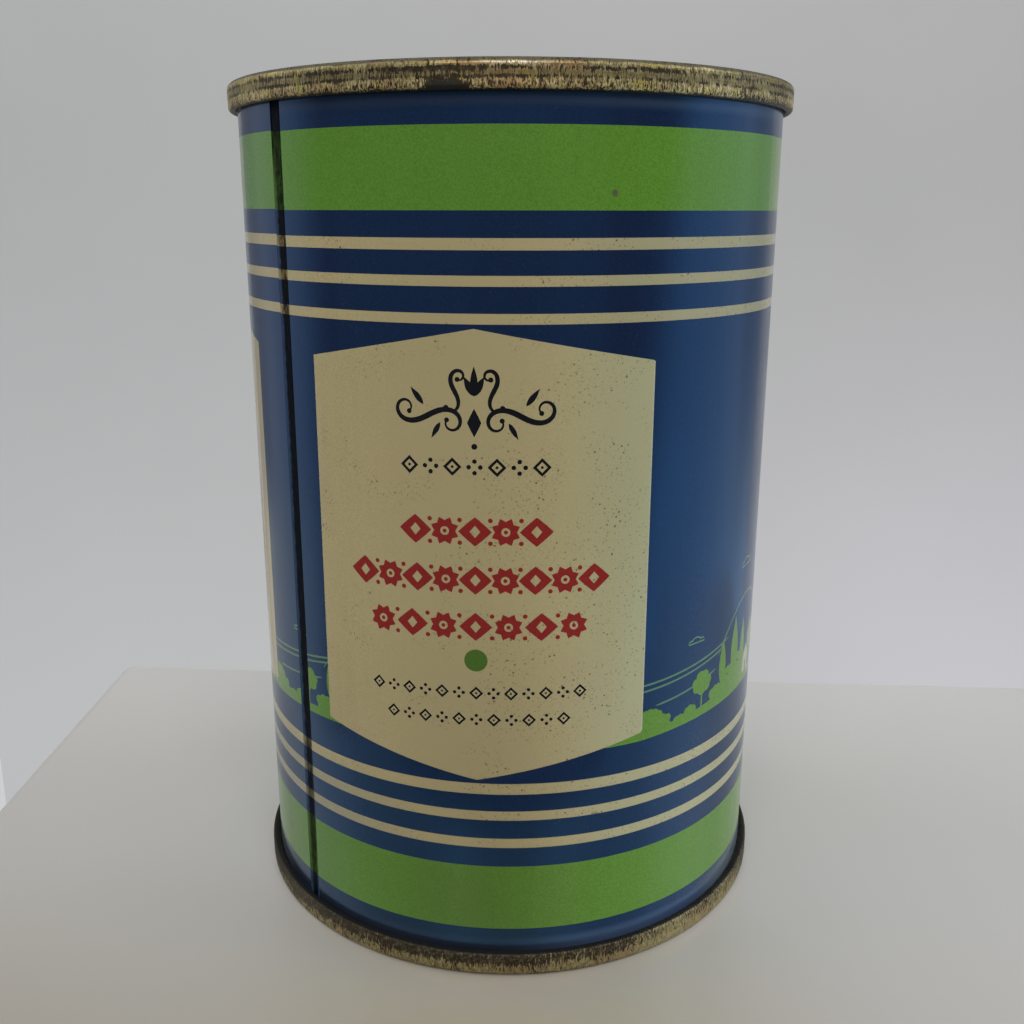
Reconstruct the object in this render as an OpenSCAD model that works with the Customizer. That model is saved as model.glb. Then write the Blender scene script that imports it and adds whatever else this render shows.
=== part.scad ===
// Coin bank made as a sealed tin can: a body with a folded and soldered side seam,
// and two pressed ends rolled on with double seams, the upper one with a coin slot.
// Z is up, the origin is the middle of the base and -Y is the printed front.

/* [Can] */
// Height over both double seams
can_h = 101.6; // [90:0.1:120]
// Diameter over the double seams
seam_od = 68.3; // [66:0.1:76]

/* [Tinplate] */
// Thickness of the body sheet
body_t = 0.28; // [0.24:0.01:0.32]
// Thickness of the sheet of both ends
end_t = 0.3; // [0.26:0.01:0.34]

/* [Double seams] */
// Height of a rolled seam
seam_h = 3; // [2.8:0.1:3.4]
// Space between neighbouring plies
ply_gap = 0.07; // [0.05:0.01:0.1]
// Space between the cut edge of a hook and the bend that it points into
hook_gap = 0.3; // [0.25:0.01:0.4]
// Radius of the bends at the crown of a seam, at mid sheet
crown_r = 0.45; // [0.35:0.01:0.55]

/* [Ends] */
// Depth of the groove inside the seam, below the crown
countersink = 3.3; // [3.1:0.1:3.8]
// Radius of the bends at the bottom of that groove, at mid sheet
groove_r = 0.6; // [0.5:0.05:0.8]
// Width of the bottom of that groove, between its bends' vertices
groove_w = 1.5; // [1.3:0.1:1.8]
// Height of the raised ring above the groove
ring_rise = 1.3; // [1:0.1:1.6]
// Width of the raised ring
ring_w = 3.2; // [2.6:0.1:4]
// Drop from the raised ring to the centre panel
panel_drop = 0.7; // [0.5:0.1:0.9]
// Width of the slope on each side of the raised ring
ring_slope = 0.9; // [0.7:0.1:1.2]
// Distance from the raised ring to the middle of the bead in the panel
bead_in = 3.4; // [2.8:0.1:4]
// Width of that bead
bead_w = 2.6; // [2.2:0.1:3]
// Height of that bead, up to its bend's vertex
bead_h = 0.7; // [0.5:0.05:0.8]
// Radius of the soft bends in the panel
panel_bend = 0.8; // [0.6:0.05:0.9]

/* [Coin slot] */
// Length of the slot
slot_l = 35; // [30:0.5:37]
// Width of the slot
slot_w = 4.5; // [4.4:0.1:6]
// Radius of its corners
slot_corner = 1; // [0.5:0.1:1.5]

/* [Side seam] */
// Turn of the seam from the front, positive to the right
side_seam_turn = -41.3; // [-180:0.1:180]
// Width of the interlocked folds
lock_w = 3.2; // [2.6:0.1:4]
// Space between the folds
lock_gap = 0.07; // [0.05:0.01:0.1]
// Width over which one edge dives under the other
crease_w = 1.5; // [1.3:0.1:2]
// Radius of the bends where that edge dives, at mid sheet
dive_r = 0.35; // [0.25:0.01:0.4]
// Length at each end of the can where the edges only lap
lap_len = 8; // [6:0.5:15]
// Depth of the solder groove along the laps
lap_groove_d = 0.14; // [0.12:0.01:0.16]
// Depth of the solder below the face of the body
solder_sink = 0.05; // [0.03:0.01:0.07]

/* [Fillings] */
// Space between the sheets and the compound or solder between them
fill_gap = 0.01; // [0.005:0.005:0.02]

/* [Hidden] */
$fn = 180;
// Steps in a bend of a quarter turn
bend_steps = 6;
// Longest straight step along a curved fold
fold_step = 0.8;
// What is taken off each face of the folds in the side seam
fold_thinning = 0.01;
// Length over which a fold grows out of the wall
fold_root = 0.3;
// Cutters pass this far through what they cut
over = 1;

// Radii at mid sheet, from the outer wall of a double seam inwards
seam_wall_r = seam_od / 2 - end_t / 2;
hook_pitch = (end_t + body_t) / 2 + ply_gap;
body_hook_r = seam_wall_r - hook_pitch;
end_hook_r = body_hook_r - hook_pitch;
wall_r = end_hook_r - hook_pitch;
chuck_r = wall_r - hook_pitch;
body_od = 2 * wall_r + body_t;

// Depths at mid sheet, measured from the crown of a seam
crown_d = end_t / 2;
body_bend_d = end_t + ply_gap + body_t / 2;
end_bend_d = seam_h - end_t / 2;
end_hook_d = body_bend_d + body_t / 2 + hook_gap;
body_hook_d = end_bend_d - end_t / 2 - hook_gap;
groove_d = countersink + end_t / 2;
ring_d = groove_d - ring_rise;
panel_d = ring_d + panel_drop;

// Radii of the shapes pressed into an end
ring_outer_r = chuck_r - groove_w - ring_slope;
ring_inner_r = ring_outer_r - ring_w;
bead_r = ring_inner_r - bead_in;

// Levels of the four plies in the side seam, inwards from the wall
level = body_t + lock_gap;
// Thickness of the folds, pressed a little thinner than the wall that they grow from
fold_t = body_t - 2 * fold_thinning;
// Places along the wall, from where the outer fold turns back
dive_start = -crease_w;
dive_end = -lock_gap;
dive_bend = dive_r * tan(atan2(3 * level, dive_end - dive_start) / 2);
lock_left = dive_start - dive_bend;
// Lowest and highest place of each stretch where the edges only lap
laps = [[seam_h, lap_len], [can_h - lap_len, can_h - seam_h]];

// Vector turned a quarter turn to the left
function left(v) = [-v[1], v[0]];
function unit(v) = v / norm(v);
function turned(v, a) = [v[0] * cos(a) - v[1] * sin(a), v[0] * sin(a) + v[1] * cos(a)];
function reversed(list) = [for (i = [len(list) - 1 : -1 : 0]) list[i]];

// Points of one bend at vertex b, offset to the left by d. A bend is [x, y, radius].
function bend(a, b, c, d) =
    let (
        v0 = unit([b[0] - a[0], b[1] - a[1]]),
        v1 = unit([c[0] - b[0], c[1] - b[1]]),
        turn = atan2(v0[0] * v1[1] - v0[1] * v1[0], v0 * v1),
        side = sign(turn),
        tangent = b[2] * tan(abs(turn) / 2),
        centre = [b[0], b[1]] - v0 * tangent + left(v0) * side * b[2],
        steps = max(2, ceil(bend_steps * abs(turn) / 90))
    )
    [for (i = [0 : steps]) centre - left(turned(v0, turn * i / steps)) * (side * b[2] - d)];

// Line of a bent sheet's path, offset to the left by d, with its bends rounded
function offset_line(path, d) =
    let (
        last = len(path) - 1,
        v0 = unit([path[1][0] - path[0][0], path[1][1] - path[0][1]]),
        v1 = unit([path[last][0] - path[last - 1][0], path[last][1] - path[last - 1][1]]),
        points = [
            [path[0][0], path[0][1]] + left(v0) * d,
            for (i = [1 : last - 1]) each bend(path[i - 1], path[i], path[i + 1], d),
            [path[last][0], path[last][1]] + left(v1) * d
        ]
    )
    [for (i = [0 : last_index(points)])
        if (i == 0 || norm(points[i] - points[i - 1]) > 0.0001) points[i]];
function last_index(list) = len(list) - 1;

// Outline of a sheet of thickness t along a path
function sheet(path, t) = concat(offset_line(path, t / 2), reversed(offset_line(path, -t / 2)));

// Path of the rolled part of an end from depth from_d, the hook longer by grow
function curl_path(from_d, grow = 0) = [
    [chuck_r, from_d],
    [chuck_r, crown_d, crown_r],
    [seam_wall_r, crown_d, crown_r],
    [seam_wall_r, end_bend_d, hook_pitch],
    [end_hook_r, end_bend_d, hook_pitch],
    [end_hook_r, end_hook_d - grow]
];

// Path of an end in radius and depth, from the axis to its hook
function end_path(grow = 0) = concat(
    [
        [0, panel_d],
        [bead_r - bead_w / 2, panel_d, panel_bend],
        [bead_r, panel_d - bead_h, panel_bend],
        [bead_r + bead_w / 2, panel_d, panel_bend],
        [ring_inner_r - ring_slope, panel_d, panel_bend],
        [ring_inner_r, ring_d, panel_bend],
        [ring_outer_r, ring_d, groove_r],
        [chuck_r - groove_w, groove_d, groove_r],
        [chuck_r, groove_d, groove_r]
    ],
    [for (i = [1 : 5]) curl_path(0, grow)[i]]
);

// Path of the body wall and its two hooks, the hooks longer by grow
function body_path(grow = 0) = [
    [body_hook_r, body_hook_d + grow],
    [body_hook_r, body_bend_d, hook_pitch],
    [wall_r, body_bend_d, hook_pitch],
    [wall_r, can_h - body_bend_d, hook_pitch],
    [body_hook_r, can_h - body_bend_d, hook_pitch],
    [body_hook_r, can_h - body_hook_d - grow]
];

// Paths of the two edges in the lock, along the wall and inwards as negative
outer_edge = [
    [level + fold_root, 0],
    [0, 0, level],
    [0, -2 * level, level],
    [lock_w - level, -2 * level]
];
inner_edge = [
    [lock_left - fold_root, 0],
    [dive_start, 0, dive_r],
    [dive_end, -3 * level, dive_r],
    [lock_w, -3 * level, level],
    [lock_w, -level, level],
    [level, -level]
];

// Longer steps of a line split, so that it can follow the wall
function refined(line) = [
    for (i = [0 : len(line) - 1])
        let (a = line[i], b = line[(i + 1) % len(line)], n = ceil(norm(b - a) / fold_step))
            for (k = [0 : n - 1]) a + (b - a) * k / n
];
// Points along and across the wall laid round the can
function wrapped(line) = [
    for (p = refined(line))
        let (a = p[0] / wall_r * 180 / PI) (wall_r + p[1]) * [cos(a), sin(a)]
];
function wall_angle(s) = s / wall_r * 180 / PI;

// Flat shape at the side seam raised from z0 to z1
module at_side_seam(z0, z1) {
    rotate([0, 0, side_seam_turn - 90])
        translate([0, 0, z0])
            linear_extrude(height = z1 - z0)
                children();
}

// Flat sector between two places along the wall, out past it
module wall_sector(s0, s1) {
    reach = wall_r + over;
    polygon([
        [0, 0],
        reach * [cos(wall_angle(s0)), sin(wall_angle(s0))],
        reach / cos(wall_angle(s1 - s0) / 2)
            * [cos(wall_angle((s0 + s1) / 2)), sin(wall_angle((s0 + s1) / 2))],
        reach * [cos(wall_angle(s1)), sin(wall_angle(s1))]
    ]);
}

// Flat ring sector of the wall between two radii and two places
module ring_sector(r0, r1, s0, s1) {
    intersection() {
        difference() {
            circle(r = r1);
            circle(r = r0);
        }
        wall_sector(s0, s1);
    }
}

// Both edges of the body where they interlock
module lock_edges(grow = 0) {
    polygon(wrapped(sheet(outer_edge, fold_t + 2 * grow)));
    polygon(wrapped(sheet(inner_edge, fold_t + 2 * grow)));
}

// Body shell: wall, hooks and the lock and lap of its side seam
module body() {
    color("#1d3358")
        difference() {
            union() {
                difference() {
                    rotate_extrude()
                        polygon(sheet(body_path(), body_t));
                    at_side_seam(lap_len, can_h - lap_len)
                        wall_sector(lock_left, level);
                }
                at_side_seam(lap_len, can_h - lap_len)
                    lock_edges();
            }
            for (z = laps)
                at_side_seam(z[0], z[1])
                    ring_sector(body_od / 2 - lap_groove_d, body_od / 2 + over / 2, dive_start, 0);
        }
}

// Flat shape of the crease between the two edges, from the middle of each sheet outwards
module crease() {
    left_end = lock_left - fold_root / 2;
    right_end = level + fold_root / 2;
    dive = [[left_end, 0], inner_edge[1], inner_edge[2], [level, -3 * level]];
    fold = [[right_end, 0], outer_edge[1], outer_edge[2], [level, -2 * level]];
    intersection() {
        polygon(wrapped(concat(
            [[left_end, body_t]],
            offset_line(dive, 0),
            reversed(offset_line(fold, 0)),
            [[right_end, body_t]]
        )));
        circle(r = body_od / 2 - solder_sink);
    }
}

// Flat shape of the solder in the groove of the laps, between two places along the wall
module solder_strip(s0, s1) {
    ring_sector(body_od / 2 - lap_groove_d + fill_gap, body_od / 2 - solder_sink, s0, s1);
}

// Solder in the crease, in both laps up to the double seams, and a core that joins the three
module side_seam_solder() {
    color("#3a3a3c") {
        at_side_seam(lap_len, can_h - lap_len)
            difference() {
                crease();
                lock_edges(fill_gap);
            }
        for (z = laps)
            at_side_seam(z[0], z[1])
                solder_strip(dive_start + fill_gap, -fill_gap);
        at_side_seam(seam_h, can_h - seam_h)
            solder_strip(dive_start * 0.6, dive_start * 0.2);
    }
}

// Pressed end as it lies under the can, with its crown at zero
module end_shell() {
    rotate_extrude()
        polygon(sheet(end_path(), end_t));
}

// Sealing compound inside the curl of an end, round the hook of the body
module seam_compound() {
    rotate_extrude()
        difference() {
            polygon(offset_line(curl_path(end_hook_d), 0));
            polygon(sheet(end_path(fill_gap), end_t + 2 * fill_gap));
            polygon(sheet(body_path(fill_gap), body_t + 2 * fill_gap));
        }
}

// What is built for the base, turned over onto the top
module at_top() {
    translate([0, 0, can_h])
        mirror([0, 0, 1])
            children();
}

module bottom_end() {
    color("#8a7a4a")
        end_shell();
}

module bottom_seam_compound() {
    color("#4b4a45")
        seam_compound();
}

// Outline of the coin slot
module slot_outline() {
    square([slot_l, slot_w - 2 * slot_corner], center = true);
    square([slot_l - 2 * slot_corner, slot_w], center = true);
    for (x = [-1, 1], y = [-1, 1])
        translate([x * (slot_l / 2 - slot_corner), y * (slot_w / 2 - slot_corner)])
            circle(r = slot_corner);
}

module top_end() {
    color("#b39a55")
        difference() {
            at_top()
                end_shell();
            translate([0, 0, can_h - panel_d - end_t / 2 - over])
                linear_extrude(height = end_t + 2 * over)
                    slot_outline();
        }
}

module top_seam_compound() {
    color("#4b4a45")
        at_top()
            seam_compound();
}

body();
side_seam_solder();
bottom_end();
bottom_seam_compound();
top_end();
top_seam_compound();
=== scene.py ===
import math

import bpy
import numpy as np
from mathutils import Matrix, Vector
from mathutils.geometry import delaunay_2d_cdt


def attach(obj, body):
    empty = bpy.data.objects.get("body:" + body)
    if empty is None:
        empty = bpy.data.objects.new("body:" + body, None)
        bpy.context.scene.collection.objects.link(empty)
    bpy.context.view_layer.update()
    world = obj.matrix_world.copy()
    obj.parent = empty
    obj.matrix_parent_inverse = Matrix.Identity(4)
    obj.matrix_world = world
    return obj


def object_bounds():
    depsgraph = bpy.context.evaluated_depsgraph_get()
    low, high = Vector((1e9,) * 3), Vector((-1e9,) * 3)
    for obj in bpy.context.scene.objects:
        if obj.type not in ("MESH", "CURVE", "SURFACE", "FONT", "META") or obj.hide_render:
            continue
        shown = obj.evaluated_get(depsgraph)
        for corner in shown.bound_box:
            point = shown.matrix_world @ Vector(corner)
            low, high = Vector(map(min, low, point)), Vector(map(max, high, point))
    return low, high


# The looks of a printed tin can: films of print on its wall, the materials of its parts, and the studio

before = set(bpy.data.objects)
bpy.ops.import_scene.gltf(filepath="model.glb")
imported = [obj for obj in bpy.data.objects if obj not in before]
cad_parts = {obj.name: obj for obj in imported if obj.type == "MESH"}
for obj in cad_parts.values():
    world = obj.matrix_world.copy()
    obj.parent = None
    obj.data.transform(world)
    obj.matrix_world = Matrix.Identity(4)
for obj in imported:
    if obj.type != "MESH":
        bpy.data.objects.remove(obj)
cad_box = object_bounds()

# Print layout in millimetres: s runs along the wall to the right of the front, z up from the base
MM = 0.001
CAN_H = (cad_box[1].z - cad_box[0].z) / MM
WALL_R = 33.06
WALL_ROUND = 2 * math.pi * WALL_R


def along(degrees):
    """Place along the wall at an angle from the front, positive to the right."""
    return math.radians(degrees) * WALL_R


# The sheet starts right of the side seam's crease and ends left of it
SIDE_SEAM = along(-41.3)
CREASE_RIGHT = 0.36
CREASE_LEFT = 1.63
SHEET = (SIDE_SEAM + CREASE_RIGHT, SIDE_SEAM + WALL_ROUND - CREASE_LEFT)
# The rims hide what lies nearer to the ends
PRINT_LOW = 2.6
GREEN_BANDS = ((5.75, 14.1), (87.55, 95.6))
LOW_STRIPES = ((16.55, 17.75), (20.1, 21.27), (23.42, 24.77))
HIGH_STRIPES = ((76.42, 77.49), (80.17, 81.24), (83.72, 84.9))
# Over the whole length of the sheet the printing climbs by this much
PRINT_CLIMB = 0.12

# Each panel is a hexagon with upright sides: its middle, half width, and the heights of its corners
PANELS = (0.1, 77.6, 155.07)
PANEL_HALF = 19.5
PANEL_SIDES = (29.4, 72.4)
PANEL_APEXES = (25.2, 75.98)

# How far a film's face and back stand off the wall, and how wide its flat facets are
INK_LIFT = 0.02
INK_FOOT = 0.004
FACET = along(1.25)
# Points nearer to each other than this are one, and triangles smaller than this are none
WELD = 1e-5
NO_AREA = 1e-9

# Each ink's own colour, and the record's slot that it belongs to
INKS = {
    "blue_print": ((0.0112, 0.0210, 0.060), "blue_print"),
    "ornament_blue_print": ((0.0045, 0.006, 0.010), "blue_print"),
    "green_print": ((0.116, 0.284, 0.033), "green_print"),
    "dot_print": ((0.080, 0.175, 0.026), "green_print"),
    "cream_print": ((0.520, 0.445, 0.240), "cream_print"),
    "red_print": ((0.29, 0.023, 0.020), "red_print"),
    "pale_green_print": ((0.10, 0.24, 0.13), "green_print"),
    "bare_coat_print": ((0.50, 0.53, 0.38), "cream_print"),
}
# The dense blue ink throws back a bluer gloss than the varnish over the others
BLUE_VARNISH = {
    "IOR": 1.62, "Specular_IOR_Level": 1.0, "Specular_Tint": (0.10, 0.43, 0.95), "Coat_Weight": 0.0,
}
CLEAR_VARNISH = {
    "IOR": 1.5, "Specular_IOR_Level": 0.4, "Specular_Tint": (1.0, 1.0, 1.0), "Coat_Weight": 0.2,
}
# How far an ink's grain makes it paler and darker, and how much pinholes show in an ink that has them
GRAIN = 0.14
CREAM_GRAIN = 0.08
PINHOLES = {"cream_print": 0.8, "green_print": 0.25}


# Outlines

def rectangle(s0, s1, z0, z1):
    return [(s0, z0), (s1, z0), (s1, z1), (s0, z1)]


def oval(s, z, half_s, half_z, points):
    turns = [2 * math.pi * i / points for i in range(points)]
    return [(s + half_s * math.cos(t), z + half_z * math.sin(t)) for t in turns]


def lozenge(s, z, half_s, half_z):
    return [(s - half_s, z), (s, z - half_z), (s + half_s, z), (s, z + half_z)]


def hollow_lozenge(s, z, half_s, half_z, points):
    """A four-pointed figure with its sides drawn in."""
    turns = np.linspace(0, 2 * math.pi, points, endpoint=False)
    c, n = np.cos(turns), np.sin(turns)
    return list(zip(s + half_s * np.sign(c) * abs(c) ** 1.9, z + half_z * np.sign(n) * abs(n) ** 1.9))


def leaf(s, z, length, width, turn, points=14):
    """A pointed leaf that grows from a place in a direction in degrees."""
    t = np.linspace(0, 1, points)
    half = width / 2 * np.sin(math.pi * t ** 0.8)
    across = np.concatenate([half, -half[-2:0:-1]])
    ahead = length * np.concatenate([t, t[-2:0:-1]])
    c, n = math.cos(math.radians(turn)), math.sin(math.radians(turn))
    return list(zip(s + ahead * c - across * n, z + ahead * n + across * c))


def ribbon(line, widths):
    """Outline of a pen stroke along a line, as wide at each point as widths says."""
    line = np.array(line, float)
    ahead = np.gradient(line, axis=0)
    ahead /= np.linalg.norm(ahead, axis=1)[:, None]
    side = np.stack([-ahead[:, 1], ahead[:, 0]], 1) * (np.asarray(widths) / 2)[:, None]
    return [tuple(p) for p in np.concatenate([line + side, (line - side)[::-1]])]


def panel_outline(s):
    low, high = PANEL_SIDES
    return [(s - PANEL_HALF, low), (s, PANEL_APEXES[0]), (s + PANEL_HALF, low),
            (s + PANEL_HALF, high), (s, PANEL_APEXES[1]), (s - PANEL_HALF, high)]


# The print, as (piece, ink, outline), later ones over earlier ones

print_shapes = []


def add(piece, ink, outline):
    print_shapes.append((piece, ink, outline))


def green(outline):
    add("print_trees", "green_print", outline)


def red(outline):
    add("print_red_ornaments", "red_print", outline)


def blue(outline):
    add("print_blue_ornaments", "ornament_blue_print", outline)


def cream(outline):
    add("print_panels", "cream_print", outline)


def add_bands():
    for band in GREEN_BANDS:
        add("print_green_bands", "green_print", rectangle(*SHEET, *band))
    for stripe in LOW_STRIPES + HIGH_STRIPES:
        add("print_cream_stripes", "cream_print", rectangle(*SHEET, *stripe))


# Fields between the panels, with places counted from the left panel's side

# Each cloud's place, height and size
CLOUDS = ((8.2, 38.6, 1.1), (20.6, 45.2, 1.5), (33.6, 43.0, 1.2))
# Each hill line's two places, its two heights, and how far it bows up
HILL_LINES = (
    (-1, 14.5, 34.3, 36.4, -0.35),
    (-1, 15.5, 35.05, 37.2, -0.35),
    (2, 12.5, 32.3, 34.0, -0.2),
    (13, 30, 35.5, 36.0, 5.6),
    (24.5, 39.5, 38.6, 34.4, 1.8),
    (25, 39.5, 37.7, 33.6, 1.7),
)
# Each bush's place, the height of its top over the ground, and half its width
BUSHES = (
    (1.2, 3.7, 1.6), (3.0, 2.6, 1.2), (5.9, 1.6, 0.8), (7.6, 2.2, 0.7), (13.0, 3.0, 1.5),
    (16.0, 4.4, 2.0), (19.2, 5.2, 2.2), (27.4, 3.6, 1.9), (30.6, 2.4, 1.5), (33.4, 2.0, 1.0),
    (35.4, 3.1, 1.5), (37.8, 4.2, 1.6),
)
# Places and sizes
TREES = ((9.7, 2.7), (25.6, 3.6), (33.0, 2.9))
POPLARS = ((14.2, 6.2), (17.6, 8.2), (20.6, 7.0), (28.9, 5.8), (36.8, 6.4))
BARN_PLACE = 22.9


def bush(rng, s, foot, top, half):
    """A clump: a body and a crown of small round tops."""
    green(rectangle(s - half, s + half, foot, top - half * 0.6))
    count = max(3, round(half / 0.35))
    for i in range(count):
        place = s - half + 2 * half * (i + 0.5) / count
        bulge = math.sqrt(max(0.0, 1 - ((place - s) / (half * 1.15)) ** 2))
        size = 0.5 + 0.22 * rng.random()
        green(oval(place, foot + (top - foot) * (0.55 + 0.45 * bulge) - size, size, size * 0.95, 14))


def tree(rng, s, z, size):
    """A round tree: a trunk and a crown of leafy clumps."""
    green(rectangle(s - 0.13, s + 0.13, z, z + size))
    green(oval(s, z + size * 1.3, size * 0.42, size * 0.38, 14))
    for i in range(7):
        a = 2 * math.pi * (i + 0.4 * rng.random()) / 7
        across, up = size * 0.4 * math.cos(a), size * (1.3 + 0.33 * math.sin(a))
        green(oval(s + across, z + up, size * 0.3, size * 0.26, 12))


def poplar(s, z, size):
    green(rectangle(s - 0.1, s + 0.1, z - 0.6, z + 0.6))
    green(leaf(s, z, size, size * 0.27, 90))


def barn(s, z):
    """A small pale barn with a pitched roof and a door."""
    walls = [(s - 1.5, z), (s + 1.5, z), (s + 1.5, z + 2.2), (s, z + 3.5), (s - 1.5, z + 2.2)]
    add("print_barns", "cream_print", walls)
    for side in (-1, 1):
        green(ribbon([(s, z + 3.65), (s + side * 1.9, z + 1.95)], [0.3, 0.3]))
    green(rectangle(s - 0.4, s + 0.4, z, z + 1.3))


def pale_line(line, width):
    """A thin line that tapers to its ends."""
    t = np.linspace(0, 1, len(line))
    widths = width * np.minimum(1, 0.35 + 9 * np.minimum(t, 1 - t))
    add("print_hill_lines", "pale_green_print", ribbon(line, widths))


def bow(s0, s1, z0, z1, rise, width=0.24):
    """A thin pale line from one place to another, bowed upwards by rise."""
    t = np.linspace(0, 1, 40)
    pale_line(np.stack([s0 + (s1 - s0) * t, z0 + (z1 - z0) * t + rise * 4 * t * (1 - t)], 1), width)


def cloud(s, z, size):
    """A small cloud in outline: three rounded tops over a straight base."""
    across = np.linspace(-1.5, 1.5, 61)
    tops = np.zeros(61)
    for place, reach in ((-0.85, 0.45), (0.0, 0.8), (0.9, 0.5)):
        tops = np.maximum(tops, np.sqrt(np.maximum(0, reach ** 2 - (across - place) ** 2)))
    pale_line(np.stack([s + size * across[4:57], z + size * 0.8 * tops[4:57]], 1), 0.2)
    bow(s - size * 1.25, s + size * 1.45, z, z, 0.0, 0.2)


def add_fields(left, seed):
    """Fields, hedges, trees and a barn between two panels, from left on, running a little under both."""
    rng = np.random.default_rng(seed)
    gap = PANELS[1] - PANELS[0] - 2 * PANEL_HALF
    t = np.linspace(-0.12, 1.12, 80)
    places = left + gap * t
    foot = 28.3 + 0.7 * np.sin(math.pi * np.clip(t, 0, 1))
    crest = foot + 1.35 + 0.3 * np.sin(11 * t + seed)

    def ground(place):
        return float(np.interp(left + place, places, foot))

    add("print_fields", "green_print", list(zip(places, crest)) + list(zip(places[::-1], foot[::-1])))
    for place, z, size in CLOUDS:
        cloud(left + place, z, size)
    for place0, place1, z0, z1, rise in HILL_LINES:
        bow(left + place0, left + place1, z0, z1, rise)
    for place, height, half in BUSHES:
        bush(rng, left + place, ground(place) + 0.3, ground(place) + height, half)
    for place, size in TREES:
        tree(rng, left + place, ground(place) + 0.8, size)
    for place, size in POPLARS:
        poplar(left + place, ground(place) + 2.2, size)
    barn(left + BARN_PLACE, ground(BARN_PLACE) + 1.2)


# Ornaments on the panels

# Half the height of the red ornaments, and half the size of the two sizes of blue ones
RED_HALF = 1.62
BLUE_LARGE = 1.0
BLUE_SMALL = 0.8
COIN_THICK = 1.75
COIN_GAP = 0.32
COIN_WIDE = 9.2


def pen(s, z, size, turn, side, ends, widest):
    """A pen stroke that curls at both ends, with a drop at each, mirrored where side is -1."""
    t = np.linspace(*ends, 90)
    path = np.cumsum(np.exp(0.5j * math.pi * t ** 2)) * (t[1] - t[0])
    path = (path - path[np.argmin(abs(t))]) * size * np.exp(1j * math.radians(turn))
    line = np.stack([s + side * path.real, z + path.imag], 1)
    blue(ribbon(line, 0.2 + (widest - 0.2) * np.sin(np.linspace(0, math.pi, 90)) ** 1.4))
    for end in (line[0], line[-1]):
        blue(oval(*end, 0.27, 0.27, 12))


def flourish(s, z):
    """Scrolls and leaves on both sides of a bud over a lozenge."""
    for side in (-1, 1):
        pen(s + side * 4.9, z - 0.9, 3.7, -28, side, (-1.95, 1.95), 0.62)
        pen(s + side * 2.05, z + 1.7, 2.3, 62, side, (-1.5, 1.9), 0.5)
        blue(leaf(s + side * 5.4, z + 0.2, 2.3, 0.62, 90 - side * 38))
        blue(leaf(s + side * 3.6, z - 1.6, 2.0, 0.55, 270 + side * 30))
    for turn, length in ((90, 3.1), (62, 2.3), (118, 2.3)):
        blue(leaf(s, z + 1.2, length, 0.8, turn))
    blue(hollow_lozenge(s, z - 1.6, 0.75, 1.5, 24))
    blue(oval(s, z - 4.1, 0.32, 0.32, 14))


def rosette(s, z, size):
    """A flower of eight broad petals round an eye."""
    for i in range(8):
        red(leaf(s, z, size, size * 0.72, 22.5 + 45 * i))
    red(oval(s, z, size * 0.52, size * 0.52, 24))
    cream(oval(s, z, size * 0.3, size * 0.3, 20))
    red(oval(s, z, size * 0.14, size * 0.14, 14))


def star(s, z, half_s, half_z):
    """A broad lozenge with a smaller one left open in it."""
    red(hollow_lozenge(s, z, half_s, half_z, 40))
    red(oval(s, z, half_s * 0.62, half_z * 0.72, 28))
    cream(lozenge(s, z, half_s * 0.32, half_z * 0.42))


def red_row(s, z, count, pitch, half):
    """Lozenges and rosettes by turns, with small dots between them."""
    for i in range(count):
        middle = s + pitch * (i - (count - 1) / 2)
        if (i + count // 2) % 2:
            rosette(middle, z, half)
        else:
            star(middle, z, half * 1.12, half)
        if i < count - 1:
            for side in (-1, 1):
                red(oval(middle + pitch / 2, z + side * half * 0.78, 0.26, 0.26, 12))


def blue_row(s, z, half, count, size):
    """Small open lozenges and clusters of dots by turns."""
    pitch = 2 * half / count
    for i in range(count):
        middle = s - half + pitch * (i + 0.5)
        if i % 2 == 0:
            blue(lozenge(middle, z, size, size))
            cream(lozenge(middle, z, size * 0.58, size * 0.58))
            blue(oval(middle, z, size * 0.16, size * 0.16, 10))
        else:
            for dot in lozenge(middle, z, size * 0.62, size * 0.62):
                blue(oval(*dot, size * 0.25, size * 0.25, 12))


def add_front_panel(s):
    edge = s + PANEL_HALF
    bare_strip = rectangle(edge - 0.05, edge + 0.14, PANEL_SIDES[0] + 0.2, PANEL_SIDES[1] - 0.1)
    add("print_panel_edge", "bare_coat_print", bare_strip)
    cream(panel_outline(s))
    flourish(s, 67.9)
    blue_row(s, 61.6, 8.3, 7, BLUE_LARGE)
    for z, count, pitch in ((54.55, 5, 3.3), (49.1, 9, 3.25), (43.75, 7, 3.6)):
        red_row(s, z, count, pitch, RED_HALF)
    add("print_dot", "dot_print", oval(s, 39.8, 1.3, 1.3, 40))
    blue_row(s, 35.9, 12.6, 13, BLUE_SMALL)
    blue_row(s, 32.7, 10.8, 11, BLUE_SMALL)


def coin(s, z, size):
    """A coin seen flat on, with a rosette."""
    red(oval(s, z, size, size, 44))
    cream(oval(s, z, size * 0.84, size * 0.84, 44))
    red(oval(s, z, size * 0.74, size * 0.74, 44))
    for i in range(6):
        cream(leaf(s, z, size * 0.6, size * 0.26, 30 + 60 * i))


def coin_edge(s, low):
    """A coin seen from the side: a bar with round ends and notches."""
    half, round_end = COIN_WIDE / 2, 0.5
    red(rectangle(s - half + round_end, s + half - round_end, low, low + COIN_THICK))
    for end in (-1, 1):
        red(oval(s + end * (half - round_end), low + COIN_THICK / 2, round_end, COIN_THICK / 2, 16))
    for i in range(9):
        notch = s + (i - 4) * 0.95
        cream(rectangle(notch - 0.09, notch + 0.09, low + 0.35, low + COIN_THICK - 0.35))


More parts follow.
